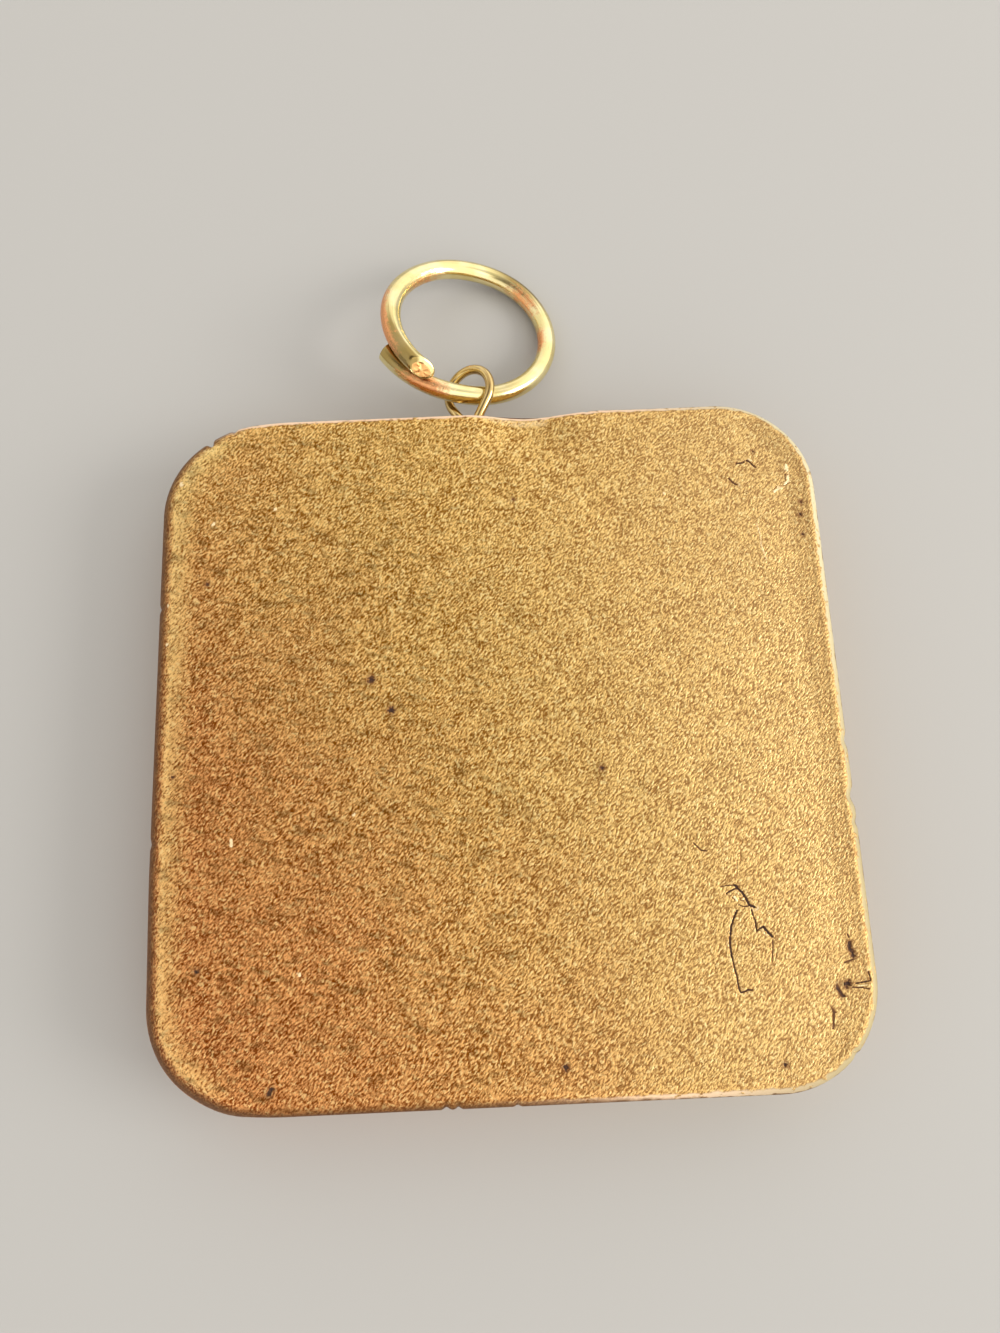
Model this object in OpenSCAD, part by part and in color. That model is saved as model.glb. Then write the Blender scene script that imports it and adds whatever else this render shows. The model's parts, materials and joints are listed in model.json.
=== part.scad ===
// Square pendant plaque, lying with its plain gold side up, a wire eye in its
// top edge and an overlapped jump ring that hangs in the eye.
// Millimetres. The origin is the centre of the plaque's underside. +Y points
// towards the eye and the ring, +X to the right and +Z up, out of the gold side.

/* [Plaque] */
// Width of the plaque, along X
plaque_w = 50; // [46:0.5:54]
// Height of the plaque, along Y
plaque_h = 50; // [46:0.5:54]
// Thickness of the plaque
plaque_t = 7.2; // [7:0.1:7.4]
// Radius of the four corners, seen from above
corner_r = 7.2; // [5:0.1:9]
// Rounding of the rim round the gold face
face_rim_r = 0.8; // [0.4:0.1:1.2]
// Rounding of the rim round the underside
under_rim_r = 0.6; // [0.3:0.1:1.2]
// Wider rounding, worn along the left edge of the gold face
left_rim_r = 2; // [1.4:0.1:2.6]

/* [Dent and nicks] */
// How far right of the middle the dent in the top edge lies
dent_x = 4; // [2:0.2:10]
// Length of the dent along the top edge
dent_len = 11; // [8:0.5:13]
// How far the dent pushes the top edge in
dent_depth = 0.7; // [0.4:0.05:0.8]
// Length of the shallow hollow in the face beside the dent
hollow_len = 7.6; // [4:0.2:9]
// Depth of the shallow hollow
hollow_depth = 0.12; // [0.06:0.02:0.2]
// Length of the longest nick in the right edge
nick_len = 2.8; // [2:0.1:3.4]
// Depth of the longest nick
nick_depth = 0.46; // [0.3:0.02:0.6]

/* [Eye] */
// Diameter of the eye's wire
eye_wire = 0.76; // [0.6:0.02:0.9]
// Outer diameter of the eye's loop
eye_od = 4.72; // [4.68:0.02:4.9]
// Height of the loop's middle over the plaque's edge, where its strands meet
eye_reach = 3.66; // [3.6:0.02:3.9]
// How far left of the middle the eye is set
eye_left = 1.1; // [0:0.05:3]
// Turn of the loop out of the plaque's plane, about its shank
eye_turn = 30; // [29:1:38]
// Length of the shank that is set into the plaque
shank_in = 9; // [6:0.5:12]

/* [Jump ring] */
// Diameter of the ring's wire
ring_wire = 1.56; // [1.4:0.02:1.6]
// Extra width of the wire where bending has flattened it, at the far left
ring_flat = 0.14; // [0:0.02:0.2]
// Tilt of the ring off the surface it lies on
ring_tilt = 18.3; // [17.5:0.1:19]
// Direction in which the ring leans down, counted from +X towards +Y
ring_lean = 38; // [34:1:42]
// Place of the lower wire end, counted from +X towards +Y
ring_from = 204; // [200:1:207]
// Turn of the wire from its lower end to its upper end
ring_turn = 391; // [380:1:393]
// Slant across the wire of both sheared ends
shear_across = 18; // [0:1:30]
// Slant of the upper end's shear up and down, which bares it to the eye above
shear_up = 36; // [0:1:45]

/* [Hidden] */

$fn = 64;
overshoot = 1;

plaque_gold = [0.72, 0.53, 0.24];
eye_brass = [0.62, 0.49, 0.27];
ring_gold = [0.90, 0.76, 0.40];

// The eye is set at half the thickness. Its shank bends into the right strand
// just clear of the plaque's edge, and the left strand closes back on the bend.
eye_z = plaque_t / 2;
eye_mid_r = (eye_od - eye_wire) / 2;
eye_y = plaque_h / 2 + eye_reach;
neck_gap = 0.12;
neck_bend_r = 0.6;
tip_gap = 0.05;
shank_gap = 0.03;
bend_steps = 4;
loop_steps = 30;

// Small nicks along the right edge: place along Y, length, depth
nick_y = 0;
nick_l = 1;
nick_d = 2;
nicks = [
    [-5.7, nick_len, nick_depth],
    [-1.8, 2.1, 0.36],
];

// Course of the ring's wire in the ring's own plane, at even steps of its turn
// from the lower end to the upper end. The wire opens out at both ends and
// climbs, so that its upper end lies on top of its lower end.
course_r = 0;
course_rise = 1;
ring_course = [
    [7.70, -0.72],
    [6.95, -0.60],
    [6.86, -0.38],
    [6.84, -0.12],
    [6.65, 0.03],
    [6.36, 0.10],
    [6.40, 0.37],
    [6.80, 0.78],
    [7.50, 1.10],
];
dent_round = 3;
ring_steps = 84;
wire_sides = 16;
flat_at = 520;
flat_spread = 70;
rest_gap = 0.005;
ring_mean_r = ring_course[4][course_r];
ring_x = 0.2 - eye_left;
ring_y = eye_y + 6.5;
ring_z = ring_wire / 2 + rest_gap + ring_mean_r * sin(ring_tilt);

// Half of the plaque's cross-section, from its middle out to reach
module half_section(reach) {
    low = under_rim_r;
    high = face_rim_r;
    translate([0, low]) square([reach, plaque_t - low - high]);
    square([reach - low, plaque_t / 2]);
    translate([0, plaque_t / 2]) square([reach - high, plaque_t / 2]);
    translate([reach - low, low]) circle(low);
    translate([reach - high, plaque_t - high]) circle(high);
}

module section(across) {
    half_section(across / 2);
    mirror([1, 0]) half_section(across / 2);
}

// Square plate with round corners and rounded rims
module blank() {
    along_x = plaque_w - 2 * corner_r;
    along_y = plaque_h - 2 * corner_r;
    rotate([90, 0, 90]) linear_extrude(along_x, center = true) section(plaque_h);
    rotate([90, 0, 0]) linear_extrude(along_y, center = true) section(plaque_w);
    for (side = [-1, 1], end = [-1, 1])
        translate([side * along_x / 2, end * along_y / 2, 0])
            rotate_extrude() half_section(corner_r);
}

// What the wider left rim takes off, along the whole left edge
module left_rim_cut() {
    translate([-plaque_w / 2, 0, plaque_t])
        rotate([90, 0, 0])
            linear_extrude(plaque_h + 2 * overshoot, center = true)
                difference() {
                    translate([-overshoot, -left_rim_r])
                        square([overshoot + left_rim_r, left_rim_r + overshoot]);
                    translate([left_rim_r, -left_rim_r]) circle(left_rim_r);
                }
}

// Radius of the ball that leaves a hollow of this length and depth
function ball_r(len, depth) = (len * len / 4 + depth * depth) / (2 * depth);

// Dent pressed into the top edge, deepest at the face's rim, and the shallow
// hollow that it leaves in the face
module dent_cut() {
    edge_r = ball_r(dent_len, dent_depth);
    face_r = ball_r(hollow_len, hollow_depth);
    translate([dent_x, plaque_h / 2 + edge_r - dent_depth, plaque_t - face_rim_r / 2])
        rotate_extrude() translate([edge_r - dent_round, 0]) circle(dent_round);
    translate([dent_x, plaque_h / 2 - hollow_len / 6, plaque_t + face_r - hollow_depth])
        sphere(face_r);
}

module nick_cuts() {
    for (n = nicks) {
        r = ball_r(n[nick_l], n[nick_d]);
        translate([plaque_w / 2 + r - n[nick_d], n[nick_y], plaque_t - face_rim_r / 2])
            sphere(r);
    }
}

module plaque() {
    color(plaque_gold)
        difference() {
            blank();
            left_rim_cut();
            dent_cut();
            nick_cuts();
            translate([-eye_left, plaque_h / 2 + overshoot, eye_z])
                rotate([90, 0, 0])
                    cylinder(h = shank_in + overshoot, r = eye_wire / 2 + shank_gap);
        }
}

// Faces of a closed tube of wire that runs through this many rounds of points
function tube_faces(rounds) =
    let (last = (rounds - 1) * wire_sides)
    concat(
        [for (s = [0 : rounds - 2], k = [0 : wire_sides - 1])
            let (a = s * wire_sides, b = a + wire_sides, n = (k + 1) % wire_sides)
            [a + k, a + n, b + n, b + k]],
        [[for (k = [0 : wire_sides - 1]) wire_sides - 1 - k],
         [for (k = [0 : wire_sides - 1]) last + k]]);

// Course of the eye's wire in the loop's own plane, counted from the loop's
// middle. It climbs the shank, bends into the right strand, goes round the loop
// and comes back down the left strand.
across = 0;
along = 1;
heading = 2;
function eye_course() =
    let (neck = eye_reach - neck_gap,
         leave = acos(eye_mid_r / neck),
         splay = 90 - leave,
         foot = shank_in + neck_gap - shank_gap,
         bend_at = -neck - neck_bend_r * tan(splay / 2),
         tip = (eye_wire / 2 * (1 + cos(2 * splay)) + tip_gap) / sin(2 * splay))
    concat(
        [[0, -neck - foot, 90]],
        [for (k = [0 : bend_steps])
            let (turned = splay * k / bend_steps)
            [neck_bend_r * (1 - cos(turned)), bend_at + neck_bend_r * sin(turned), 90 - turned]],
        [for (k = [0 : loop_steps])
            let (at = leave - 90 + (360 - 2 * leave) * k / loop_steps)
            [eye_mid_r * cos(at), eye_mid_r * sin(at), at + 90]],
        [[-tip * sin(splay), -neck + tip * cos(splay), -leave]]);

// One round of points about a place on the eye's course
function eye_round(place) =
    [for (k = [0 : wire_sides - 1])
        let (around = 360 * k / wire_sides,
             out = eye_wire / 2 * cos(around))
        [place[across] + out * sin(place[heading]),
         place[along] - out * cos(place[heading]),
         eye_wire / 2 * sin(around)]];

module eye() {
    course = eye_course();
    color(eye_brass)
        translate([-eye_left, eye_y, eye_z])
            rotate([0, -eye_turn, 0])
                polyhedron(points = [for (place = course) each eye_round(place)],
                           faces = tube_faces(len(course)), convexity = 6);
}

// Smooth value of one column of the course at a place from 0 to 1
function smooth_at(column, place) =
    let (rows = len(ring_course) - 1,
         i = min(floor(place * rows), rows - 1),
         u = place * rows - i,
         b = ring_course[i][column],
         c = ring_course[i + 1][column],
         a = i > 0 ? ring_course[i - 1][column] : 2 * b - c,
         d = i < rows - 1 ? ring_course[i + 2][column] : 2 * c - b)
    0.5 * (2 * b + (c - a) * u + (2 * a - 5 * b + 4 * c - d) * u * u
           + (3 * b - a - 3 * c + d) * u * u * u);

// Half width of the wire across the ring, wider where it is flattened
function half_width(turned) =
    (ring_wire + ring_flat * exp(-pow((turned - flat_at) / flat_spread, 2))) / 2;

// Slide of a point forwards along the wire, only at the two sheared ends, whose
// inner side is left longer
function shear_slide(step, out, up) =
    step == 0 ? out * tan(shear_across)
    : step == ring_steps ? -out * tan(shear_across) - up * tan(shear_up)
    : 0;

// One round of points about the ring wire's middle line
function wire_round(step) =
    let (place = step / ring_steps,
         turned = ring_from + ring_turn * place,
         r = smooth_at(course_r, place),
         rise = smooth_at(course_rise, place),
         w = half_width(turned))
    [for (k = [0 : wire_sides - 1])
        let (around = 360 * k / wire_sides,
             out = w * cos(around),
             up = ring_wire / 2 * sin(around),
             at = turned + shear_slide(step, out, up) / r * 180 / PI)
        [(r + out) * cos(at), (r + out) * sin(at), rise + up]];

module jump_ring() {
    color(ring_gold)
        translate([ring_x, ring_y, ring_z])
            rotate([0, 0, ring_lean]) rotate([0, ring_tilt, 0]) rotate([0, 0, -ring_lean])
                polyhedron(points = [for (s = [0 : ring_steps]) each wire_round(s)],
                           faces = tube_faces(ring_steps + 1), convexity = 6);
}

plaque();
eye();
jump_ring();
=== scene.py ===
import json
from math import acos, cos, exp, hypot, pi, radians, sin, tan

import bmesh
import bpy
from mathutils import Matrix, Vector, noise


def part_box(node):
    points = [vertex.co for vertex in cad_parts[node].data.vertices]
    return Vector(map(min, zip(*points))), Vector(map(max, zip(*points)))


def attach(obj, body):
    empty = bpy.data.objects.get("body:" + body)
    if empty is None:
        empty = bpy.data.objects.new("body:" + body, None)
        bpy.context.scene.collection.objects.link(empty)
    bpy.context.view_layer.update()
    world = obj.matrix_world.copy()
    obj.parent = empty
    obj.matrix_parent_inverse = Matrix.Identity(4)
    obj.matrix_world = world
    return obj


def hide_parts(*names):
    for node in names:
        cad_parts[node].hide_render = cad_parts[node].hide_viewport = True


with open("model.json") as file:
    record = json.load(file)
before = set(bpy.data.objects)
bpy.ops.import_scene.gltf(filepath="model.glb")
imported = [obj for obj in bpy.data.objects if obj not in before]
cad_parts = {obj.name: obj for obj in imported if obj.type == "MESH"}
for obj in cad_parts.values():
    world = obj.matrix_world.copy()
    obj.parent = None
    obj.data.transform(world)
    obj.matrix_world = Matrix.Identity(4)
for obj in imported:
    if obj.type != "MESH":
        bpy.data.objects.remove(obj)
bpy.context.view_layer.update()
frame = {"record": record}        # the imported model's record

mm = 0.001
alongX, alongY, upwards = Vector((1, 0, 0)), Vector((0, 1, 0)), Vector((0, 0, 1))


# Small helpers

def tint(red, green, blue):  # screen values from 0 to 255 as linear light
    linear = [((c / 255 + 0.055) / 1.055) ** 2.4 if c > 10 else c / 255 / 12.92
              for c in (red, green, blue)]
    return (*linear, 1.0)


def fade(value, full, none):  # 1 at full, 0 at none and smooth between, in either order
    part = min(max((none - value) / (none - full), 0.0), 1.0)
    return part * part * (3 - 2 * part)


def finishPiece(name, bm, material, node):
    mesh = bpy.data.meshes.new(name)
    bmesh.ops.recalc_face_normals(bm, faces=bm.faces)
    for face in bm.faces:
        face.smooth = True
    bm.to_mesh(mesh)
    bm.free()
    piece = bpy.data.objects.new(name, mesh)
    bpy.context.scene.collection.objects.link(piece)
    mesh.materials.append(material)
    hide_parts(node)
    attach(piece, "root")
    print(f"{name}: {len(mesh.polygons)} faces")


# Shader maths: a Field wraps a socket, so that plain sums add Math nodes

class Field:
    def __init__(self, tree, socket=None):
        self.tree, self.socket = tree, socket

    def node(self, kind, settings=None, sockets=None, output=0):
        made = self.tree.nodes.new(kind)
        for name, value in (settings or {}).items():
            setattr(made, name, value)
        for name, value in (sockets or {}).items():
            if isinstance(value, Field):
                self.tree.links.new(value.socket, made.inputs[name])
            else:
                made.inputs[name].default_value = value
        return Field(self.tree, made.outputs[output]) if made.outputs else None

    def attribute(self, name, output="Fac"):
        return self.node("ShaderNodeAttribute", {"attribute_name": name}, output=output)

    def maths(self, operation, first, second):
        return self.node("ShaderNodeMath", {"operation": operation}, {0: first, 1: second})

    def __add__(self, other):
        return self.maths("ADD", self, other)

    def __sub__(self, other):
        return self.maths("SUBTRACT", self, other)

    def __rsub__(self, other):
        return self.maths("SUBTRACT", other, self)

    def __mul__(self, other):
        return self.maths("MULTIPLY", self, other)

    __radd__, __rmul__ = __add__, __mul__

    def rise(self, start, end, low=0.0, high=1.0):  # smooth step from low to high
        return self.node("ShaderNodeMapRange", {"interpolation_type": "SMOOTHSTEP"},
                         {"Value": self, "From Min": start, "From Max": end,
                          "To Min": low, "To Max": high})

    def between(self, first, second):  # the colour first where this is 0, second where it is 1
        return self.node("ShaderNodeMix", {"data_type": "RGBA"},
                         {0: self, 6: first, 7: second}, output=2)

    def towards(self, x, y, z=0.0):  # how far this vector reaches along another
        return self.node("ShaderNodeVectorMath", {"operation": "DOT_PRODUCT"},
                         {0: self, 1: (x, y, z)}, output="Value")


def startMaterial(name):
    material = bpy.data.materials.new(name)
    material.use_nodes = True
    tree = material.node_tree
    tree.nodes.clear()
    return material, Field(tree)


def endMaterial(field, sockets):
    shader = field.node("ShaderNodeBsdfPrincipled", sockets=sockets)
    field.node("ShaderNodeOutputMaterial", sockets={"Surface": shader})


def objectPlace(field, turn=0.0, stretch=(1.0, 1.0, 1.0)):  # place on the piece, in mm
    place = field.node("ShaderNodeTexCoord", output="Object")
    scale = tuple(part * mm for part in stretch)
    return field.node("ShaderNodeMapping", {"vector_type": "TEXTURE"},
                      {"Vector": place, "Rotation": (0, 0, turn), "Scale": scale})


def cloud(place, scale, detail=2.0, rough=0.5):
    return place.node("ShaderNodeTexNoise", {"noise_dimensions": "3D"},
                      {"Vector": place, "Scale": scale, "Detail": detail, "Roughness": rough})


def bumpFrom(height, strength, distance):
    return height.node("ShaderNodeBump", {}, {
        "Height": height, "Strength": strength, "Distance": distance})


# Camera, at the photo's angle

camera = {
    "place": Vector((-0.05, -10.46, 72.37)) * mm,
    "ahead": Vector((0.0068, 0.2258, -0.9742)),
    "up": Vector((0.0427, 0.9732, 0.2258)),
    "lens": 24.95,          # on a 36 mm long side
    "nearest": 5 * mm,
    "farthest": 5.0,
}


def makeCamera():
    data = bpy.data.cameras.new("camera")
    data.lens = camera["lens"]
    data.clip_start, data.clip_end = camera["nearest"], camera["farthest"]
    viewer = bpy.data.objects.new("camera", data)
    back = -camera["ahead"].normalized()
    side = camera["up"].cross(back).normalized()
    turn = Matrix((side, back.cross(side), back)).transposed()
    viewer.matrix_world = Matrix.Translation(camera["place"]) @ turn.to_4x4()
    bpy.context.scene.collection.objects.link(viewer)
    bpy.context.scene.camera = viewer


# Floor and light

studio = {
    "floor": tint(180, 178, 174),
    "floorSize": 1.6,
    "floorRough": 0.85,
    "rightward": Vector((1, -0.12, 0)),         # the room gets brighter this way
    "aroundLeft": 0.95, "aroundRight": 1.60,    # brightness of the walls
    "horizon": 0.35, "horizonTop": 0.16,        # part of it that is left low on them
    "ceiling": (0.77, 0.955),                   # how steeply up it starts and is full
    "aboveLeft": 0.235, "aboveRight": 0.75,     # its brightness
    "aboveChange": (-0.06, 0.20),               # where it turns from one to the other
    "nearRight": 1.30,                          # added to it over the near right
    "nearRightward": Vector((0.55, -0.83, 0)),
    "white": (1.0, 0.98, 0.95, 1),
    "warm": (1.0, 0.89, 0.72, 1),               # the ceiling's left side
    "windowAt": Vector((0.50, -0.08, 0.27)),
    "windowAim": Vector((0, 0.01, 0)),
    "windowSize": (0.30, 0.22),
    "windowWatts": 1.7,
}


def makeFloor():
    material, field = startMaterial("pale floor")
    bump = bumpFrom(cloud(objectPlace(field), 0.6, 3.0), 0.05, 0.1 * mm)
    endMaterial(field, {"Base Color": studio["floor"], "Roughness": studio["floorRough"],
                        "Normal": bump})
    bm = bmesh.new()
    bmesh.ops.create_grid(bm, x_segments=1, y_segments=1, size=studio["floorSize"] / 2)
    mesh = bpy.data.meshes.new("floor")
    bm.to_mesh(mesh)
    bm.free()
    mesh.materials.append(material)
    floor = bpy.data.objects.new("floor", mesh)
    bpy.context.scene.collection.objects.link(floor)


def makeWorld():
    world = bpy.data.worlds.new("studio")
    bpy.context.scene.world = world
    world.use_nodes = True
    tree = world.node_tree
    tree.nodes.clear()
    direction = Field(tree).node("ShaderNodeTexCoord", output="Generated")
    right = direction.towards(*studio["rightward"].normalized())
    nearRight = direction.towards(*studio["nearRightward"].normalized())
    upper = direction.towards(0, 0, 1)

    around = right.rise(-1.0, 1.0, studio["aroundLeft"], studio["aroundRight"])
    around = around * upper.rise(0.0, studio["horizonTop"], studio["horizon"], 1.0)
    above = right.rise(*studio["aboveChange"], studio["aboveLeft"], studio["aboveRight"])
    corner = nearRight.rise(0.10, 0.40) * right.rise(-0.05, 0.20)
    above = above + corner * studio["nearRight"]
    ceiling = upper.rise(*studio["ceiling"])
    glow = (ceiling * right.rise(0.3, -0.3)).between(studio["white"], studio["warm"])
    back = direction.node("ShaderNodeBackground", sockets={
        "Color": glow, "Strength": around + ceiling * (above - around)})
    direction.node("ShaderNodeOutputWorld", sockets={"Surface": back})


def makeWindow():
    data = bpy.data.lights.new("window", "AREA")
    data.shape = "RECTANGLE"
    data.size, data.size_y = studio["windowSize"]
    data.energy, data.color = studio["windowWatts"], studio["white"][:3]
    lamp = bpy.data.objects.new("window", data)
    aim = (studio["windowAim"] - studio["windowAt"]).to_track_quat("-Z", "Y")
    lamp.matrix_world = Matrix.Translation(studio["windowAt"]) @ aim.to_matrix().to_4x4()
    bpy.context.scene.collection.objects.link(lamp)


# The plaque

low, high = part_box("plaque")
plaque = {
    "cornerRadius": 7.2 * mm,
    "cornerSteps": 20,
    "faceRim": 0.8 * mm,
    "underRim": 0.6 * mm,
    "rimSteps": 8,
    "faceRows": (0.12, 0.14, 0.18, 0.26, 0.40, 0.60),   # rows of faces inside the rim, in mm
    "cell": 1.0 * mm,           # the face is cut into squares of this size,
    "strip": 0.2 * mm,          # and the left edge and the walls into strips as wide as this,
    "strips": 11,
    "wallFrom": 0.3 * mm,       # which on the walls start this far down
    "lip": 0.020 * mm,          # the rim stands this much above the face
    "lipTop": 0.75 * mm,        # how far in from the edge it starts to fall, and ends
    "lipFoot": 1.25 * mm,
    "furrowAt": 1.05 * mm,      # a shallow furrow along its foot
    "furrowHalf": 0.3 * mm,
    "uneven": 0.03 * mm,
    "unevenScale": 0.22,
    "unevenFull": 3.0 * mm,     # how far in from the edge the face is fully uneven
    "leftWear": 1.2 * mm,       # the left edge is worn rounder than the rim by this much,
    "leftSpan": (-22, -15),     # in full as far as the first x in mm, and none from the second
    "lowLeftWear": 0.6 * mm,    # its lower corner by this much more, with two places for y
    "lowLeftSpan": (-20, -8),
    "topWear": 0.25 * mm,       # and the upper edge at the right by this much, in y and in x
    "topSpan": (24, 18),
    "topRightSpan": (12, 6),
    "dentAt": 4.1 * mm,
    "dentHalf": 5.2 * mm,
    "dentDepth": 0.40 * mm,
    "dentReach": 3.2 * mm,      # how far in from the edge the dent fades
    "dentDown": (0.6 * mm, 3.5 * mm),   # and how far down the side
    "hollowAt": 2.6 * mm,       # a hollow in the face beside the dent
    "hollowHalf": 3.8 * mm,
    "hollowDepth": 0.32 * mm,
    "hollowReach": (0.6 * mm, 5.0 * mm),
    "nickReach": (0.3 * mm, 1.2 * mm),  # a nick fades this far in from the edge,
    "nickDown": (3.6 * mm, 5.6 * mm),   # and this far down the side
    "nickFarthest": 2,          # it cuts only places this near to it, in mm
    "markDeep": 0.3 * mm,       # marks are only on what is this near to the top
    "markReach": 0.4,           # and change it this far beside their own half width, in mm
    "relief": {"crack": -0.05 * mm, "pit": -0.07 * mm, "ridge": 0.015 * mm},
    "halvings": 5,              # the mesh is halved this often beside a mark
    "halvingEdge": 0.75,        # edges longer than this in mm are cut, half as long next time
    "halvingReach": (0.6, 0.32),    # how far from a mark, in mm: the first part halves too
    "lineReach": 0.2,           # and this much nearer to a crack or a ridge than to a pit

    # Paint. Of two tints the first is gold, and the second copper, towards the lower left
    "peaks": (tint(252, 209, 127), tint(248, 175, 107)),
    "leftHighlightPeaks": (tint(255, 222, 146), tint(255, 202, 126)),
    "valleys": (tint(142, 90, 14), tint(132, 60, 6)),
    "glints": (tint(255, 227, 156), tint(255, 210, 140)),
    "rightSheen": tint(194, 166, 124),        # painted sheen: flattens the grain to a paler, duller tone over the right half, towards the light
    "shade": tint(96, 62, 20),          # painted shade: a darker line in the furrow inside the right rim, which also tones down the rim's highlight there
    "smudge": tint(86, 60, 18),
    "shoulder": tint(106, 68, 36),      # painted shade just over the edge, widest at the left, where the wall turns from the light
    # The rubbed rim: worn paint, painted lighter as the highlight it catches at the right and along
    # the top
    "rubbedHighlightLeft": tint(250, 216, 182),
    "rubbedHighlight": (tint(180, 164, 122), tint(212, 200, 160)),       # rubbed paint painted lighter as the rim's highlight, lower and upper right
    # pale flakes, and the colour of painted glints and highlights on the marks
    "flakeAndGlint": tint(255, 228, 178),
    "undercoat": (tint(112, 70, 34), tint(56, 36, 26)),         # beside a mark and in it
    "rightSheenMost": 0.36, "shadeMost": 0.22, "smudgeMost": 0.45, "edgeShadeMost": 0.85,
    "glintMost": 0.8, "stainAndShadeMost": 0.6, "leftHighlightMost": 0.6,
    "grainTurn": radians(48),
    "grainStretch": (1.75, 0.85, 1.0),
    "grainScale": 6.4,
    "grainSlope": (0.34, 0.66),
    "grainBump": 0.08 * mm,
    "smearTurn": radians(-12),
    "smearStretch": (2.0, 0.8, 1.0),

    # Where each effect starts and where it is full, in mm across the face
    "copperSpan": (0.0, 34.0), "rightSheenSpan": (-6.0, 26.0), "smudgeSpan": (-12.0, 6.0),
    "leftEdge": (18.0, 21.0), "rightEdge": (20.0, 22.0),
    "rubHighlightRight": (-8.0, 10.0), "rubHighlightTop": (17.0, 20.0),
    "rubbedHighlightUp": (-10.0, 18.0), "rubbedHighlightAcross": (8.0, 24.0),
    "rubHighlightWider": (5.0, 24.0), "rubHighlightWidth": (0.52, 0.62),
    # and in mm in from the edge, or down the side where it is below 0
    "leftHighlightOuter": (0.8, 1.5), "leftHighlightInner": (3.6, 1.3),       # painted highlight: a brighter, less coppery strip inside the left edge, where its worn rounding catches the light
    "shadeOuter": (0.4, 0.8), "shadeInner": (2.7, 1.8),
    "edgeShadeDown": (-0.9, -0.2),
    "edgeWander": 0.4,
}

# Nicks in the rim, in mm: place, half width, depth
nicks = [
    (25.0, -5.7, 0.9, 0.26), (25.0, -7.5, 0.5, 0.12), (25.0, -1.75, 0.7, 0.16),
    (-21.53, 23.96, 0.42, 0.42), (-19.5, 24.8, 0.35, 0.15), (-4.4, -25.0, 0.35, 0.18),
    (-3.6, -25.0, 0.30, 0.16), (-25.0, 10.4, 0.40, 0.12), (-25.0, -6.9, 0.50, 0.10),
    (0.3, -25.0, 0.30, 0.12), (22.6, -22.4, 0.40, 0.10), (8.0, 25.0, 0.30, 0.06),
]

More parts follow.
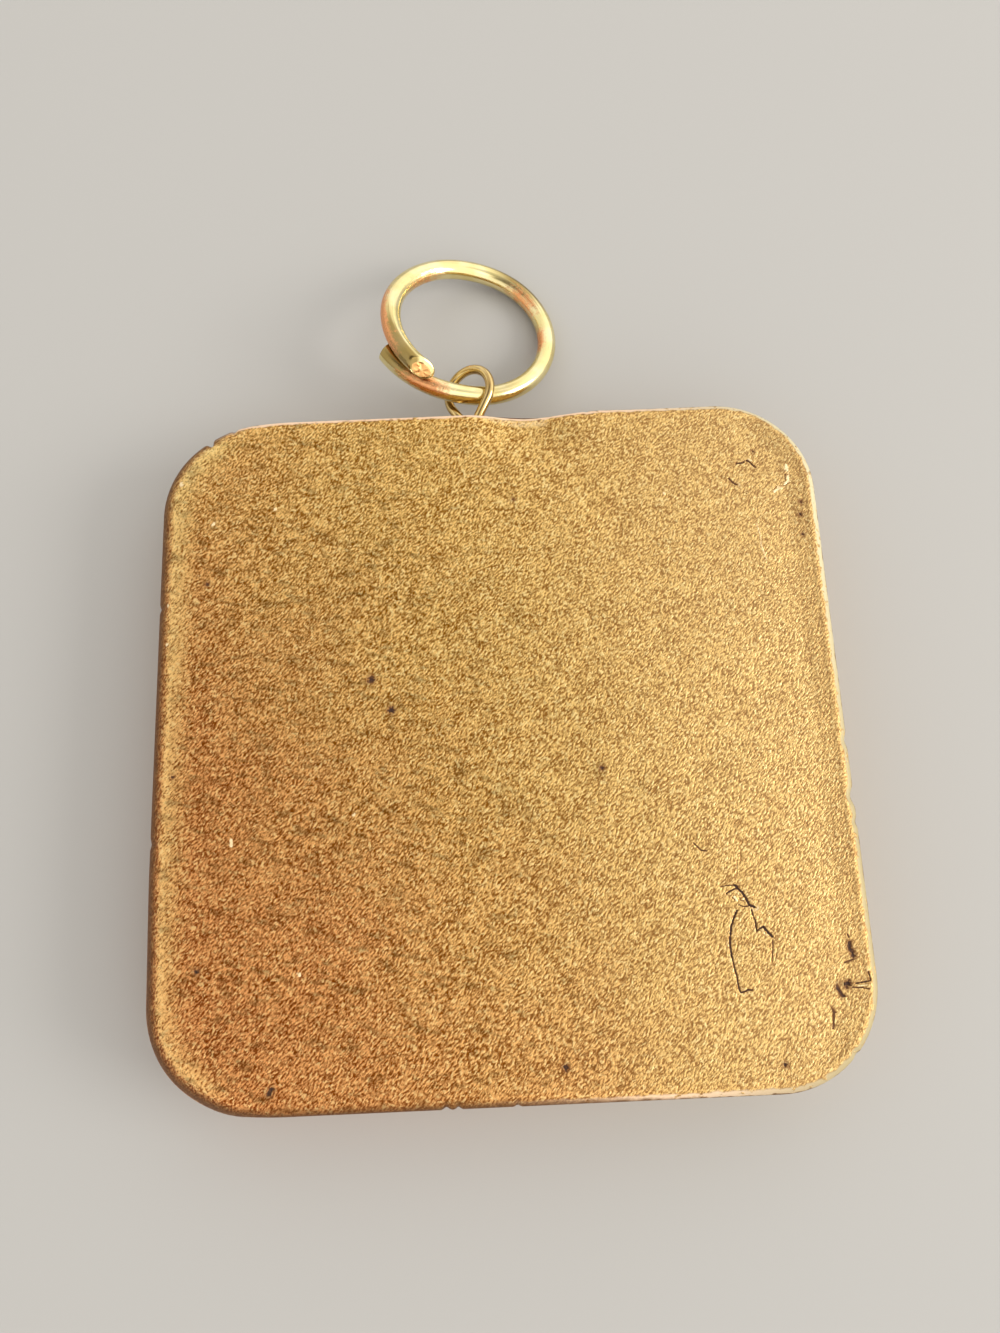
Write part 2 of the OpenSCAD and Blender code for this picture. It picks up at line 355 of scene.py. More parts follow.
# Marks on the face, in mm from its middle: kind, half width, strength, then the points
marks = [
    ("crack", 0.11, 1.0, (15.75, -11.43), (15.97, -11.55), (16.09, -11.75), (16.30, -11.95),
     (16.51, -12.35), (16.69, -12.79), (17.05, -12.95)),
    ("crack", 0.05, 0.8, (14.85, -11.50), (15.32, -11.44), (15.75, -11.43)),
    ("crack", 0.07, 0.9, (15.21, -11.96), (15.57, -11.78), (15.96, -11.63)),
    ("crack", 0.06, 0.7, (15.58, -12.25), (15.74, -12.42)),
    ("crack", 0.05, 0.6, (16.07, -12.27), (16.13, -12.44), (16.35, -12.53)),
    ("crack", 0.06, 0.8, (15.98, -12.76), (16.31, -12.89), (16.69, -12.85)),
    ("ridge", 0.10, 0.9, (15.74, -12.22), (15.85, -12.45)), ("ridge", 0.07, 0.8, (16.32, -12.40)),
    ("crack", 0.08, 0.9, (16.80, -13.13), (16.90, -13.57), (16.99, -13.95), (17.02, -14.52),
     (17.25, -14.38), (17.50, -14.27)),
    ("crack", 0.11, 1.0, (17.50, -14.27), (17.77, -14.64), (18.05, -14.92)),
    ("crack", 0.08, 0.6, (18.04, -15.19), (18.00, -15.62), (17.84, -16.52)),
    ("crack", 0.05, 0.5, (18.20, -16.05), (18.06, -16.53)),
    ("crack", 0.09, 1.0, (15.81, -13.14), (15.53, -13.67), (15.34, -14.10), (15.24, -14.58),
     (15.13, -15.12), (15.14, -15.61), (15.17, -16.09)),
    ("crack", 0.08, 0.9, (15.17, -16.09), (15.27, -16.74), (15.38, -17.37), (15.44, -18.12),
     (15.55, -18.44), (15.81, -18.38), (16.04, -18.28), (16.34, -18.32)),
    ("crack", 0.05, 0.5, (16.15, -9.77), (16.09, -10.40), (16.03, -10.98)),
    ("crack", 0.07, 0.8, (13.29, -8.49), (13.73, -8.99), (14.14, -9.07)),
    ("crack", 0.08, 0.7, (23.14, -15.00), (23.21, -15.19)),
    ("pit", 0.17, 0.9, (23.19, -15.55), (23.19, -15.85), (23.32, -16.17), (23.37, -16.40)),
    ("crack", 0.08, 0.7, (23.34, -16.64), (23.08, -16.70), (22.72, -16.82)),
    ("pit", 0.25, 1.0, (22.11, -18.42), (22.25, -18.24)), ("pit", 0.22, 1.0, (22.84, -18.15)),
    ("pit", 0.15, 0.9, (22.30, -18.20), (22.57, -18.19), (22.80, -18.17)),
    ("pit", 0.14, 0.8, (22.65, -18.40)), ("pit", 0.08, 0.9, (22.17, -17.92)),
    ("pit", 0.11, 0.9, (22.29, -18.91), (22.45, -18.98)),
    ("crack", 0.07, 0.9, (23.32, -18.19), (23.76, -18.11), (24.30, -18.06), (24.29, -17.75),
     (24.24, -17.49)),
    ("crack", 0.06, 0.8, (23.03, -18.41), (23.71, -18.47), (24.13, -18.56)),
    ("crack", 0.13, 0.9, (21.50, -19.40), (21.72, -19.82), (21.56, -20.21), (21.45, -20.71)),
    ("crack", 0.08, 0.8, (21.45, -20.71), (21.41, -21.25)),
    ("crack", 0.11, 0.8, (19.13, 19.76), (19.70, 19.83)),
    ("crack", 0.10, 0.8, (19.91, 19.98), (20.16, 19.81), (20.35, 19.54), (20.56, 19.39)),
    ("crack", 0.10, 0.7, (18.41, 18.55), (18.68, 18.21), (18.95, 18.01)),
    ("crack", 0.05, 0.5, (7.34, 14.37), (8.25, 15.68), (9.47, 16.84)),
    ("crack", 0.05, 0.7, (22.71, 19.06), (22.66, 18.21)),
    ("crack", 0.05, 0.6, (22.94, 18.02), (22.38, 17.67)),
    ("crack", 0.05, 0.6, (21.71, 17.51), (21.99, 17.77)),
    ("pit", 0.19, 0.9, (18.03, -23.06)), ("pit", 0.26, 1.0, (3.57, -22.63)),
    ("pit", 0.19, 0.9, (7.28, -3.02)), ("pit", 0.33, 0.9, (-8.94, 4.12)),
    ("pit", 0.30, 1.0, (-7.53, 1.78)), ("pit", 0.17, 0.8, (-20.99, 11.85)),
    ("pit", 0.14, 0.7, (1.95, 17.58)), ("pit", 0.16, 0.8, (-23.05, -2.34)),
    ("pit", 0.20, 0.9, (-20.95, -15.55)), ("pit", 0.21, 0.9, (-15.80, -23.15), (-15.95, -23.40)),
    ("pit", 0.12, 0.7, (20.46, 20.69)), ("pit", 0.17, 0.7, (23.63, 16.42)),
    ("pit", 0.15, 0.9, (23.49, 15.43)), ("pit", 0.14, 0.8, (23.49, 13.81)),
    ("ridge", 0.12, 0.90, (22.89, 19.47), (22.90, 19.00), (22.90, 18.44), (22.89, 18.16),
     (22.57, 17.85), (22.20, 17.63), (21.73, 17.32)),
    ("ridge", 0.10, 0.45, (20.12, 14.83), (20.30, 13.90), (20.28, 13.10), (20.55, 11.97)),
    ("ridge", 0.05, 0.35, (19.11, 3.71), (18.79, 0.71)),
    ("ridge", 0.06, 0.7, (20.02, 20.08), (20.30, 19.91)), ("ridge", 0.07, 0.8, (22.33, -18.56)),
    ("ridge", 0.05, 0.6, (23.40, -18.35), (24.01, -18.31)),
    # single flecks, raised a little and painted pale as glints
    ("ridge", 0.22, 1.2, (-23.26, 19.92)), ("ridge", 0.17, 1.2, (-20.67, 16.57)),
    ("ridge", 0.16, 1.2, (-16.03, 17.57)), ("ridge", 0.13, 1.0, (13.38, 17.55)),
    ("ridge", 0.17, 1.2, (-14.02, -16.04)), ("ridge", 0.14, 1.1, (-10.24, -5.55)),
    ("ridge", 0.12, 1.1, (-18.79, -6.90), (-18.77, -7.35)),
    ("ridge", 0.16, 1.1, (-24.03, 10.36)), ("ridge", 0.15, 1.1, (-23.92, 7.39)),
    # a painted highlight on the lit flank of the hollow beside the dent, drawn as a broad low ridge
    ("ridge", 0.55, 0.42, (0.6, 24.6), (2.6, 24.2), (4.6, 24.2)),
]

# Darker stains, and painted shade beside the dent, in mm: place, reach, strength
stainsAndShade = [
    (-16.7, -0.3, 1.6, 0.9), (-14.6, -2.1, 1.3, 0.7), (-13.3, 5.5, 1.6, 0.7),
    (-13.5, 1.7, 1.3, 0.7),
    (-11.0, 7.0, 1.6, 0.8), (-12.2, 11.1, 1.4, 0.7), (-11.8, -6.2, 1.6, 0.7),
    (-7.4, -10.7, 1.6, 0.6),
    (-9.2, 4.0, 1.5, 0.5), (-7.6, 2.2, 1.4, 0.7), (-3.9, -0.3, 1.2, 0.6), (-2.7, -3.0, 1.7, 0.8),
    (0.2, -5.7, 1.5, 0.8), (2.1, -6.0, 1.5, 0.9), (3.3, -7.9, 1.4, 0.7), (-1.5, -8.6, 1.6, 0.8),
    (1.7, 8.5, 1.4, 0.9), (7.2, -3.0, 1.2, 0.7), (9.9, -4.3, 1.7, 0.8), (10.2, -6.9, 1.4, 0.6),
    (-19.8, -8.8, 2.0, 0.5), (-14.4, -12.0, 1.8, 0.5), (-1.2, -16.1, 1.6, 0.5),
    (-20.7, -15.7, 1.8, 0.5),
    # the first here is painted shade on the shaded flank of the hollow beside the dent
    (6.3, 23.1, 2.6, 0.55), (-23.0, 16.5, 1.5, 0.5), (-5.5, 8.5, 1.8, 0.5), (4.5, 1.0, 2.2, 0.4),
]


def distanceTo(x, y, points):  # from a place to a line through points, in mm
    if len(points) == 1:
        return hypot(x - points[0][0], y - points[0][1])
    nearest = float("inf")
    for (ax, ay), (bx, by) in zip(points, points[1:]):
        dx, dy = bx - ax, by - ay
        along = min(max(((x - ax) * dx + (y - ay) * dy) / (dx * dx + dy * dy), 0.0), 1.0)
        nearest = min(nearest, hypot(x - ax - along * dx, y - ay - along * dy))
    return nearest


def nearMarks(x, y, reach):  # marks that come within reach of a place, with their distance
    for kind, half, strength, *points in marks:
        room = half + reach
        if (min(p[0] for p in points) - room < x < max(p[0] for p in points) + room
                and min(p[1] for p in points) - room < y < max(p[1] for p in points) + room):
            yield kind, half, strength, distanceTo(x, y, points)


def fromEdge(x, y):  # how far inside the outline a place is, and the way inwards
    half = high.x - plaque["cornerRadius"]
    outX, outY = abs(x) - half, abs(y) - half
    turn = Vector((-1 if x > 0 else 1, -1 if y > 0 else 1, 0))
    if outX > 0 and outY > 0:
        out = Vector((outX, outY, 0))
        return plaque["cornerRadius"] - out.length, out.normalized() * turn
    if outX > outY:
        return high.x - abs(x), Vector((turn.x, 0, 0))
    return high.y - abs(y), Vector((0, turn.y, 0))


def roundedPlate():  # round corners, rounded rims, and rows of faces inside the upper rim
    bm = bmesh.new()
    bmesh.ops.create_cube(bm, size=1)
    size = high - low
    bmesh.ops.scale(bm, vec=size, verts=bm.verts)
    bmesh.ops.translate(bm, vec=(low + high) / 2, verts=bm.verts)
    upright = [e for e in bm.edges if abs(e.verts[0].co.z - e.verts[1].co.z) > size.z / 2]
    bmesh.ops.bevel(bm, geom=upright, offset=plaque["cornerRadius"],
                    segments=plaque["cornerSteps"], profile=0.5, affect="EDGES", material=-1)

    def flatAt(place):
        return max((f for f in bm.faces if abs(f.calc_center_median().z - place) < 1e-6),
                   key=lambda f: f.calc_area())

    for rim, place in (("faceRim", high.z), ("underRim", low.z)):
        bmesh.ops.bevel(bm, geom=list(flatAt(place).edges), offset=plaque[rim],
                        segments=plaque["rimSteps"], profile=0.5, affect="EDGES", material=-1)
    for row in plaque["faceRows"]:
        bmesh.ops.inset_individual(bm, faces=[flatAt(high.z)], thickness=row * mm,
                                   use_even_offset=True)
    return bm


def cutCells(bm):  # straight cuts: a grid, strips at the left and down the walls, and the nicks
    half = int((high - low).x / 2 / plaque["cell"])
    cuts = []
    for step in range(-half + 1, half):
        cuts += [(Vector((step * plaque["cell"], 0, 0)), alongX),
                 (Vector((0, step * plaque["cell"], 0)), alongY)]
    for step in range(1, plaque["strips"] + 1):
        deep = step * plaque["strip"]
        cuts += [(Vector((low.x + deep, 0, 0)), alongX),
                 (Vector((0, 0, high.z - deep - plaque["wallFrom"])), upwards)]
    for x, y, wide, _ in nicks:
        axis = alongX if abs(y) > abs(x) else alongY
        for part in (-1, -0.6, -0.3, 0, 0.3, 0.6, 1):
            cuts.append(((Vector((x, y, 0)) + axis * part * wide) * mm, axis))
    for centre, normal in cuts:
        bmesh.ops.bisect_plane(bm, geom=bm.verts[:] + bm.edges[:] + bm.faces[:], dist=1e-6,
                               plane_co=centre, plane_no=normal)
    print(f"plate cut into {len(bm.faces)} faces")


def refineMarks(bm):  # each time the edges that lie nearer to a mark are halved
    top = (high.z - plaque["markDeep"]) / mm
    first, least = plaque["halvingReach"]
    for level in range(plaque["halvings"]):
        part = 0.5 ** level
        reach = first * part + least
        near = []
        for edge in bm.edges:
            middle = (edge.verts[0].co + edge.verts[1].co) / 2 / mm
            if middle.z < top or edge.calc_length() / mm < plaque["halvingEdge"] * part:
                continue
            if any(distance < half + reach - (0 if kind == "pit" else plaque["lineReach"])
                   for kind, half, _, distance in nearMarks(middle.x, middle.y, reach)):
                near.append(edge)
        bmesh.ops.subdivide_edges(bm, edges=near, cuts=1, use_grid_fill=True)
    print(f"marks cut into {len(bm.faces)} faces")


def markAt(x, y):  # what the marks do to a place on the face: bare, pale, and lifted
    bare = pale = lift = 0.0
    for kind, half, strength, distance in nearMarks(x, y, plaque["markReach"]):
        rough = noise.noise(Vector((x, y, 3)) * 6) + 0.5 * noise.noise(Vector((x, y, 9)) * 15)
        ragged = distance + 0.7 * half * rough
        core = fade(ragged, half * 0.35, half * 1.2) * (strength + 0.35 * rough)
        lift += plaque["relief"][kind] * core
        if kind == "ridge":
            pale = max(pale, core)
        elif kind == "pit":
            bare = max(bare, core, 0.36 * fade(distance, half, half + 0.4))
        else:
            bare = max(bare, core)
            broken = noise.noise(Vector((x, y, 5)) * 1.8) + 0.35    # painted highlight: pale bits beside a crack, where its edges catch the light
            fringe = fade(abs(ragged - 2.1 * half), 0.0, 1.4 * half) * strength * broken
            pale = max(pale, fringe * 0.6)
    return bare, pale, lift


def shapeFace(point, inside):  # the rim stands a little proud of a slightly uneven face
    p = plaque
    if point.z > high.z - p["faceRim"]:
        furrow = fade(abs(inside - p["furrowAt"]), 0.0, p["furrowHalf"])
        point.z -= p["lip"] * (fade(inside, p["lipFoot"], p["lipTop"]) + 0.5 * furrow)
        wave = noise.noise(point / mm * p["unevenScale"]) + 0.6
        point.z -= p["uneven"] * wave * fade(inside, p["unevenFull"], p["faceRim"])


def shapeDent(point):
    p = plaque
    off = (point.x - p["dentAt"]) / p["dentHalf"]
    if abs(off) < 1:
        point.y -= (p["dentDepth"] * (1 - off * off) ** 2
                    * fade(high.y - point.y, 0, p["dentReach"])
                    * fade(high.z - point.z, *p["dentDown"]))
    off = (point.x - p["hollowAt"]) / p["hollowHalf"]
    if abs(off) < 1 and point.z > high.z - p["faceRim"]:
        point.z -= (p["hollowDepth"] * (1 - off * off) ** 2
                    * fade(high.y - point.y, *p["hollowReach"]))


def shapeNicks(point, inside, inward):
    place = point.copy()
    for x, y, half, depth in nicks:
        gap = Vector((place.x / mm - x, place.y / mm - y, 0))
        off = gap.cross(inward).length / half
        if off < 1 and gap.length < plaque["nickFarthest"]:
            cut = fade(off, 0.0, 1.0) * fade(high.z - place.z, *plaque["nickDown"])
            point += inward * depth * mm * cut * fade(inside, *plaque["nickReach"])


def shapeWornRim(point, inside, inward):
    p = plaque
    x, y = point.x / mm, point.y / mm
    left = p["leftWear"] + p["lowLeftWear"] * fade(y, *p["lowLeftSpan"])
    top = p["topWear"] * fade(x, *p["topRightSpan"]) * fade(y, *p["topSpan"])
    radius = p["faceRim"] + left * fade(x, *p["leftSpan"]) + top
    back, up = radius - inside, point.z - high.z + radius
    if back > 0 and up > 0 and hypot(back, up) > radius:
        shrink = radius / hypot(back, up)
        point += inward * back * (1 - shrink)
        point.z -= up * (1 - shrink)


def buildPlaque():
    bm = roundedPlate()
    cutCells(bm)
    refineMarks(bm)
    bareLayer = bm.verts.layers.float.new("bare")
    paleLayer = bm.verts.layers.float.new("pale")
    insideLayer = bm.verts.layers.float.new("inside")
    stainAndShadeLayer = bm.verts.layers.float.new("stainedAndShaded")
    for vert in bm.verts:
        x, y, _ = vert.co / mm
        inside, inward = fromEdge(vert.co.x, vert.co.y)
        drop = high.z - plaque["faceRim"] - vert.co.z
        vert[insideLayer] = (-drop if drop > 0 else inside) / mm
        vert[stainAndShadeLayer] = max(strength * fade(hypot(x - atX, y - atY), 0.0, reach)
                               for atX, atY, reach, strength in stainsAndShade)
        lift = 0.0
        if vert.co.z > high.z - plaque["markDeep"]:
            vert[bareLayer], vert[paleLayer], lift = markAt(x, y)
        shapeFace(vert.co, inside)
        vert.co.z = min(vert.co.z + lift, high.z)
        shapeDent(vert.co)
        shapeNicks(vert.co, inside, inward)
        shapeWornRim(vert.co, inside, inward)
    finishPiece("plaque_body", bm, goldPaint(), "plaque")


def goldPaint():
    p = plaque
    material, field = startMaterial("gold paint")
    plain = objectPlace(field)
    right, top, left = plain.towards(1, 0), plain.towards(0, 1), plain.towards(-1, 0)
    inside = field.attribute("inside") + (cloud(plain, 1.5) - 0.5) * p["edgeWander"]

    # Masks along the edge: the rubbed rim with its painted highlight, the painted shade over the
    # shoulder outside it, and the strips inside it, a painted highlight at the left and painted
    # shade inside the right rim
    # the rim is rubbed and lit at the right and along the top, and shaded on the left and lower
    # side
    shadedSide = 1 - plain.towards(0.9, 0.15).rise(*p["rubHighlightRight"])
    worn = 1 - shadedSide * (1 - plain.towards(0.25, 1).rise(*p["rubHighlightTop"]))
    wide = right.rise(*p["rubHighlightWider"], *p["rubHighlightWidth"])
    rim = inside.rise(wide, wide * 0.7) * inside.rise(0.05, 0.12) * worn
    rim = rim * cloud(plain, 2.2).rise(0.28, 0.42)
    leftEdge = left.rise(*p["leftEdge"])
    # painted shade over the edge: wider at the left, narrower where the rim is lit
    shoulder = inside.rise(leftEdge * 0.4 - worn * 0.9 + 1.05, 0.05)
    shoulder = shoulder * inside.rise(*p["edgeShadeDown"])
    # painted highlight along the left edge
    leftHighlight = inside.rise(*p["leftHighlightOuter"]) * inside.rise(*p["leftHighlightInner"]) * leftEdge
    # painted shade in the furrow inside the right rim
    shade = inside.rise(*p["shadeOuter"]) * inside.rise(*p["shadeInner"])
    shade = shade * right.rise(*p["rightEdge"])

    # Grain: bright flecks with dark between them
    copper = plain.towards(-0.85, -0.5) + cloud(plain, 0.12) * 12.0
    copper = copper.rise(*p["copperSpan"]) - leftHighlight * 0.35
    grain = cloud(objectPlace(field, p["grainTurn"], p["grainStretch"]), p["grainScale"], 2.0, 0.6)
    patchy = (cloud(plain, 1.2, 2.0, 0.6) - 0.5) * 0.25
    peaks = (leftHighlight * p["leftHighlightMost"]).between(copper.between(*p["peaks"]),
                                           copper.between(*p["leftHighlightPeaks"]))
    colour = (grain + patchy + leftHighlight * 0.08).rise(*p["grainSlope"])
    colour = colour.between(copper.between(*p["valleys"]), peaks)
    bright = (grain + cloud(plain, 4.0, 1.0) - 0.5).rise(0.58, 0.76)
    colour = (bright * p["glintMost"]).between(colour, copper.between(*p["glints"]))
    # painted sheen over the right half, on the side towards the light
    colour = (right.rise(*p["rightSheenSpan"]) * p["rightSheenMost"]).between(colour, p["rightSheen"])
    colour = (shade * p["shadeMost"]).between(colour, p["shade"])

    # Smudges at the left, and the stains with the painted shade beside the dent
    smear = cloud(objectPlace(field, p["smearTurn"], p["smearStretch"]), 1.5, 3.0, 0.6)
    smudge = smear.rise(0.50, 0.72) * plain.towards(-0.9, -0.2).rise(*p["smudgeSpan"])
    stainedAndShaded = field.attribute("stainedAndShaded") * (smear + cloud(plain, 3.5, 3.0, 0.6) * 2.0 - 0.5)
    smudge = smudge + stainedAndShaded.rise(0.1, 0.9) * p["stainAndShadeMost"]
    colour = (smudge * p["smudgeMost"]).between(colour, p["smudge"])

    # the rubbed rim, painted lighter as its highlight
    rubbedHighlight = right.rise(*p["rubbedHighlightAcross"]).between(
        p["rubbedHighlightLeft"], top.rise(*p["rubbedHighlightUp"]).between(*p["rubbedHighlight"]))
    colour = rim.between(colour, rubbedHighlight)
    # painted shade over the edge
    colour = (shoulder * p["edgeShadeMost"]).between(colour, p["shoulder"])

    # Marks: pale flakes, with painted glints and painted highlights, and bare places where the coat
    # under the paint shows
    pale, bare = field.attribute("pale"), field.attribute("bare")
    colour = pale.rise(0.15, 0.8).between(colour, p["flakeAndGlint"])
    gone = bare.rise(0.15, 0.55)
    colour = gone.between(colour, bare.rise(0.4, 1.0).between(*p["undercoat"]))

    bump = bumpFrom(grain * rim.rise(0.0, 1.0, 1.0, 0.25), 0.8, p["grainBump"])
    shine = gone.rise(0.0, 1.0, 0.92, 0.15) - rim * 0.7 - pale.rise(0.7, 1.1) * 0.6
    rough = gone.rise(0.0, 1.0, 0.34, 0.6) + inside.rise(1.2, 0.6) * 0.20
    endMaterial(field, {"Base Color": colour, "Metallic": shine, "Roughness": rough,
                        "Specular IOR Level": 0.25, "Normal": bump})
    return material


# Wire: a round section that is drawn along a course of places

def drawWire(bm, places, sides):
    drawn = bm.verts.layers.float_vector.new("drawn")   # along the wire, and across its section
    made = bmesh.ops.create_circle(bm, segments=sides, radius=1)
    for vert in made["verts"]:
        vert[drawn] = (0, vert.co.x, vert.co.y)
    edges = list({e for v in made["verts"] for e in v.link_edges})
    bmesh.ops.transform(bm, matrix=places[0], verts=made["verts"])
    bmesh.ops.contextual_create(bm, geom=edges)
    length = 0.0
    for before, after in zip(places, places[1:]):
        length += (after.translation - before.translation).length
        grown = bmesh.ops.extrude_edge_only(bm, edges=edges)["geom"]
        verts = [g for g in grown if isinstance(g, bmesh.types.BMVert)]
        edges = [g for g in grown if isinstance(g, bmesh.types.BMEdge)]
        bmesh.ops.transform(bm, matrix=after @ before.inverted(), verts=verts)
        for vert in verts:
            vert[drawn] = (length / mm, vert[drawn][1], vert[drawn][2])
    bmesh.ops.contextual_create(bm, geom=edges)


def section(place, ahead, across, width, thick):  # unit circle to one place on the wire
    side = across.normalized()
    ahead = ahead.normalized()
    up = side.cross(ahead)
    turned = Matrix((side * width / 2, up * thick / 2, ahead)).transposed().to_4x4()
    return Matrix.Translation(place) @ turned


# The jump ring

jumpRing = {
    "wire": 1.53 * mm,
    "flat": 0.14 * mm,          # extra width where bending flattened the wire
    "flatAt": 520, "flatSpread": 70,
    "tilt": radians(18.3),
    "lean": radians(38),
    "start": 204, "turn": 391,
    # radius and rise of the wire's middle, at even steps of its turn, in mm
    "course": [(7.70, -0.72), (6.95, -0.60), (6.86, -0.38), (6.84, -0.12), (6.65, 0.03),
               (6.36, 0.10), (6.40, 0.37), (6.80, 0.78), (7.50, 1.10)],
    "meanRadius": 6.8 * mm,
    # how far the cut leans at the lower end and at the upper end
    "lowerCut": (tan(radians(18)), 0), "upperCut": (-0.87, -0.76),
    "cutReach": 1.7 * mm,
    "shoulder": 0.24 * mm,      # the upper end rounds over to a smaller cut, off its middle
    "shoulderSteps": 5,
    "cutSize": 0.78, "cutMiddle": (0.17, -0.12),
    "steps": 260,
    "sides": 32,
    "endEdge": 0.05 * mm,
    "endRim": 0.06 * mm,
    "ridges": 0.030 * mm,
    "ridgeScale": 2.6,
    # wear and painted warm reflections, as copper patches: mm along the wire, side of the wire in
    # degrees (0 outward, 90 up), reach in mm, strength
    "worn": [(4.4, 45, 3.8, 1.0), (23.4, 160, 4.2, 0.80), (18.3, 180, 3.0, 1.1),
             (40.5, -10, 6.5, 1.4), (34.5, 175, 5.5, 0.7), (42.8, 80, 0.35, 0.5)],
    # painted dark reflections on the top of the wire, and painted shade along its underside, in the
    # same way
    "darkReflection": [(44.5, 45, 7.0, 1.1), (1.6, 72, 5.0, 1.2), (24.5, 75, 5.5, 0.7), (11.0, 60, 4.0, 0.5),
             (23.0, -80, 80, 0.9)],
    "gold": (tint(246, 232, 178), tint(236, 218, 152)),
    "streaks": tint(190, 156, 90), "streaksMost": 0.45,
    "darkReflectionTint": tint(130, 101, 38), "darkReflectionMost": 0.8,
    "copper": tint(240, 168, 112),
    "torn": tint(240, 184, 118),
    "streakScale": (0.22, 5.0, 5.0),    # along the wire, and across it
}


def smoothAt(rows, place):  # a smooth curve through rows, at a place from 0 to 1
    last = len(rows) - 1
    i = min(int(place * last), last - 1)
    u = place * last - i
    b, c = Vector(rows[i]), Vector(rows[i + 1])
    a = Vector(rows[i - 1]) if i > 0 else 2 * b - c
    d = Vector(rows[i + 2]) if i < last - 1 else 2 * c - b
    return 0.5 * (2 * b + (c - a) * u + (2 * a - 5 * b + 4 * c - d) * u * u
                  + (3 * b - a - 3 * c + d) * u * u * u)


def ringPlaces():
    r = jumpRing
    mount = next(m for m in frame["record"]["mounts"] if m["name"] == "ring")
    turn = Matrix.Rotation(r["lean"], 4, "Z")
    pose = (Matrix.Translation(mount["pos_m"]) @ turn @ Matrix.Rotation(r["tilt"], 4, "Y")
            @ turn.inverted())

    def middle(part):
        radius, rise = smoothAt(r["course"], part) * mm
        turned = radians(r["start"] + r["turn"] * part)
        return Vector((radius * cos(turned), radius * sin(turned), rise))

    places = []
    length = radians(r["turn"]) * r["meanRadius"]
    last = 1 - r["shoulder"] / length
    beside = 0.002      # the wire's heading is taken between this far before and after
    for step in range(r["steps"] + 1):
        part = last * step / r["steps"]
        ahead = middle(min(part + beside, 1)) - middle(max(part - beside, 0))
        turned = r["start"] + r["turn"] * part
        width = r["wire"] + r["flat"] * exp(-((turned - r["flatAt"]) / r["flatSpread"]) ** 2)
        place = section(middle(part), ahead, ahead.cross(upwards), width, r["wire"])
        for away, lean in ((part, r["lowerCut"]), (last - part, r["upperCut"])):
            near = max(1 - away * length / r["cutReach"], 0)
            shear = Matrix.Identity(4)
            shear[2][0] = lean[0] * near * width / 2
            shear[2][1] = lean[1] * near * r["wire"] / 2
            place = place @ shear
        places.append(pose @ place)
    for step in range(1, r["shoulderSteps"] + 1):
        over = radians(90 * step / r["shoulderSteps"])
        shrink = (1 - r["cutSize"]) * (1 - cos(over))
        shift = Vector((*r["cutMiddle"], 0)) * (1 - cos(over))
        shift.z = r["shoulder"] * sin(over)
        size = Matrix.Diagonal((1 - shrink, 1 - shrink, 1, 1))
        places.append(pose @ place @ Matrix.Translation(shift) @ size)
    return places


def cutEnds(bm, sides):  # a rounded edge and a torn, ridged face at each end
    torn = bm.verts.layers.float.new("torn")

    def ends():
        return [f for f in bm.faces if len(f.verts) == sides]

    bmesh.ops.bevel(bm, geom=[e for f in ends() for e in f.edges], offset=jumpRing["endEdge"],
                    segments=3, profile=0.5, affect="EDGES", material=-1)
    for end in ends():
        outward = end.normal.copy()
        bmesh.ops.inset_individual(bm, faces=[end], thickness=jumpRing["endRim"],
                                   use_even_offset=True)
        spokes = bmesh.ops.poke(bm, faces=[end])["verts"][0].link_edges
        within = {v for e in spokes for v in e.verts}
        edges = {e for v in within for e in v.link_edges if all(w in within for w in e.verts)}
        grown = bmesh.ops.subdivide_edges(bm, edges=list(edges), cuts=3, use_grid_fill=True)
        for vert in grown["geom_inner"]:
            if isinstance(vert, bmesh.types.BMVert):
                vert[torn] = 1.0
                ridge = 1 - abs(noise.noise(vert.co / mm * jumpRing["ridgeScale"])) * 5
                vert.co += outward * jumpRing["ridges"] * ridge


def patchAt(patches, narrow, along, out, up):  # the strongest patch at one place on the wire
    most = 0.0
    for at, side, reach, strength in patches:
        off = (along - at) / reach
        facing = out * cos(radians(side)) + up * sin(radians(side))
        most = max(most, strength * fade(abs(off), 0.0, 1.0) * fade(facing, 1.0, narrow))
    return most


def buildRing():
    bm = bmesh.new()
    drawWire(bm, ringPlaces(), jumpRing["sides"])
    worn = bm.verts.layers.float.new("worn")
    darkReflection = bm.verts.layers.float.new("darkReflection")
    drawn = bm.verts.layers.float_vector["drawn"]
    for vert in bm.verts:
        vert[worn] = patchAt(jumpRing["worn"], -0.1, *vert[drawn])     # a wide strip
        vert[darkReflection] = patchAt(jumpRing["darkReflection"], 0.3, *vert[drawn])      # a narrower one
    bmesh.ops.recalc_face_normals(bm, faces=bm.faces)
    cutEnds(bm, jumpRing["sides"])
    finishPiece("ring_wire", bm, polishedGold(), "jump_ring")


def drawnLines(field, scale, rough):  # fine lines that follow the wire
    drawn = field.attribute("drawn", "Vector")
    place = field.node("ShaderNodeMapping", {}, {"Vector": drawn, "Scale": scale})
    return cloud(place, 1.0, 4.0, rough)


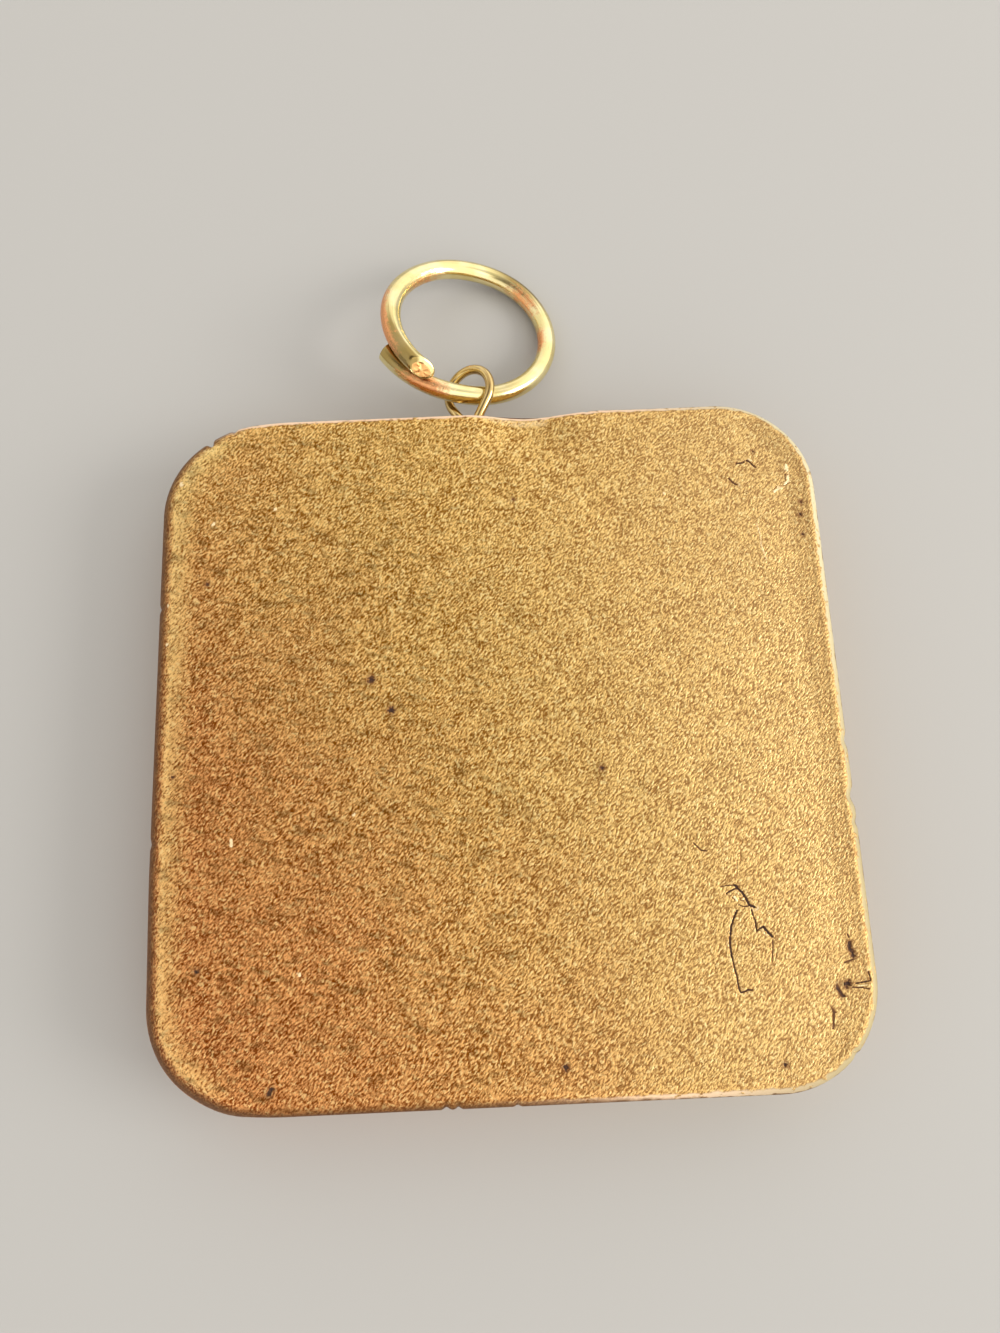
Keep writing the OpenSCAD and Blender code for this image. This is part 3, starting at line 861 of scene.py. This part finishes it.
def polishedGold():
    r = jumpRing
    material, field = startMaterial("polished gold")
    plain = objectPlace(field)
    lines = drawnLines(field, r["streakScale"], 0.7)
    rub = cloud(plain, 3.0, 3.0, 0.6)
    worn = field.attribute("worn")
    wearAndReflection = (worn + (rub + lines - 1.0) * 1.2 * worn.rise(0.0, 0.3)).rise(0.25, 1.05)
    darkReflection = (field.attribute("darkReflection") + (lines - 0.5) * 0.6).rise(0.15, 0.75)
    torn = field.attribute("torn")
    colour = cloud(plain, 0.5).rise(0.35, 0.65).between(*r["gold"])
    colour = (lines.rise(0.54, 0.74) * r["streaksMost"]).between(colour, r["streaks"])
    # painted dark reflections and shade, in olive
    colour = (darkReflection * r["darkReflectionMost"]).between(colour, r["darkReflectionTint"])
    # copper patches: wear, and painted warm reflections
    colour = wearAndReflection.between(colour, r["copper"])
    colour = torn.between(colour, r["torn"])
    bump = bumpFrom(lines + rub * wearAndReflection * 3.0, 0.45, 0.02 * mm)
    rough = lines.rise(0.3, 0.8, 0.12, 0.24) + wearAndReflection * 0.12 + torn * 0.25
    endMaterial(field, {"Base Color": colour, "Metallic": 1.0, "Roughness": rough,
                        "Normal": bump})
    return material


# The eye

eyeWire = {
    "wire": 0.76 * mm,
    "middleRadius": 1.98 * mm,
    "turn": radians(30),
    "reach": 3.66 * mm,         # from the loop's middle to the plaque
    "neckGap": 0.12 * mm,       # between the plaque and the place where the strands meet
    "bend": 0.6 * mm,
    "bendSteps": 8,
    "loopSteps": 72,
    "tipGap": 0.05 * mm,
    "shank": 9.0 * mm,
    "shankGap": 0.03 * mm,
    "left": 1.1 * mm,           # how far left of the plaque's middle it stands
    "sides": 20,
    "brass": (tint(230, 202, 140), tint(170, 138, 82)),
    "streakScale": (0.5, 3.0, 3.0),
}


def eyePlaces():
    e = eyeWire
    neck = e["reach"] - e["neckGap"]
    leave = acos(e["middleRadius"] / neck)
    splay = pi / 2 - leave
    bendAt = -neck - e["bend"] * tan(splay / 2)
    tip = (e["wire"] / 2 * (1 + cos(2 * splay)) + e["tipGap"]) / sin(2 * splay)
    foot = -e["reach"] - e["shank"] + e["shankGap"]
    course = [(0, foot, pi / 2), (0, -e["reach"], pi / 2)]     # x, y and heading
    for step in range(e["bendSteps"] + 1):
        turned = splay * step / e["bendSteps"]
        course.append((e["bend"] * (1 - cos(turned)), bendAt + e["bend"] * sin(turned),
                       pi / 2 - turned))
    for step in range(e["loopSteps"] + 1):
        at = leave - pi / 2 + (2 * pi - 2 * leave) * step / e["loopSteps"]
        course.append((e["middleRadius"] * cos(at), e["middleRadius"] * sin(at), at + pi / 2))
    course.append((-tip * sin(splay), -neck + tip * cos(splay), -leave))
    middle = Vector((-e["left"], high.y + e["reach"], (low.z + high.z) / 2))
    pose = Matrix.Translation(middle) @ Matrix.Rotation(-e["turn"], 4, "Y")
    places = []
    for x, y, heading in course:
        ahead = Vector((cos(heading), sin(heading), 0))
        across = ahead.cross(upwards)
        places.append(pose @ section(Vector((x, y, 0)), ahead, across, e["wire"], e["wire"]))
    return places


def buildEye():
    bm = bmesh.new()
    drawWire(bm, eyePlaces(), eyeWire["sides"])
    finishPiece("eye_wire", bm, darkBrass(), "eye")


def darkBrass():
    material, field = startMaterial("darkened brass")
    lines = drawnLines(field, eyeWire["streakScale"], 0.6)
    colour = lines.rise(0.35, 0.7).between(*eyeWire["brass"])
    endMaterial(field, {"Base Color": colour, "Metallic": 1.0, "Roughness": 0.15,
                        "Normal": bumpFrom(lines, 0.2, 0.02 * mm)})
    return material


bpy.context.scene.view_settings.view_transform = "Standard"
makeCamera()
makeFloor()
makeWorld()
makeWindow()
print("studio ready")
buildPlaque()
buildEye()
buildRing()
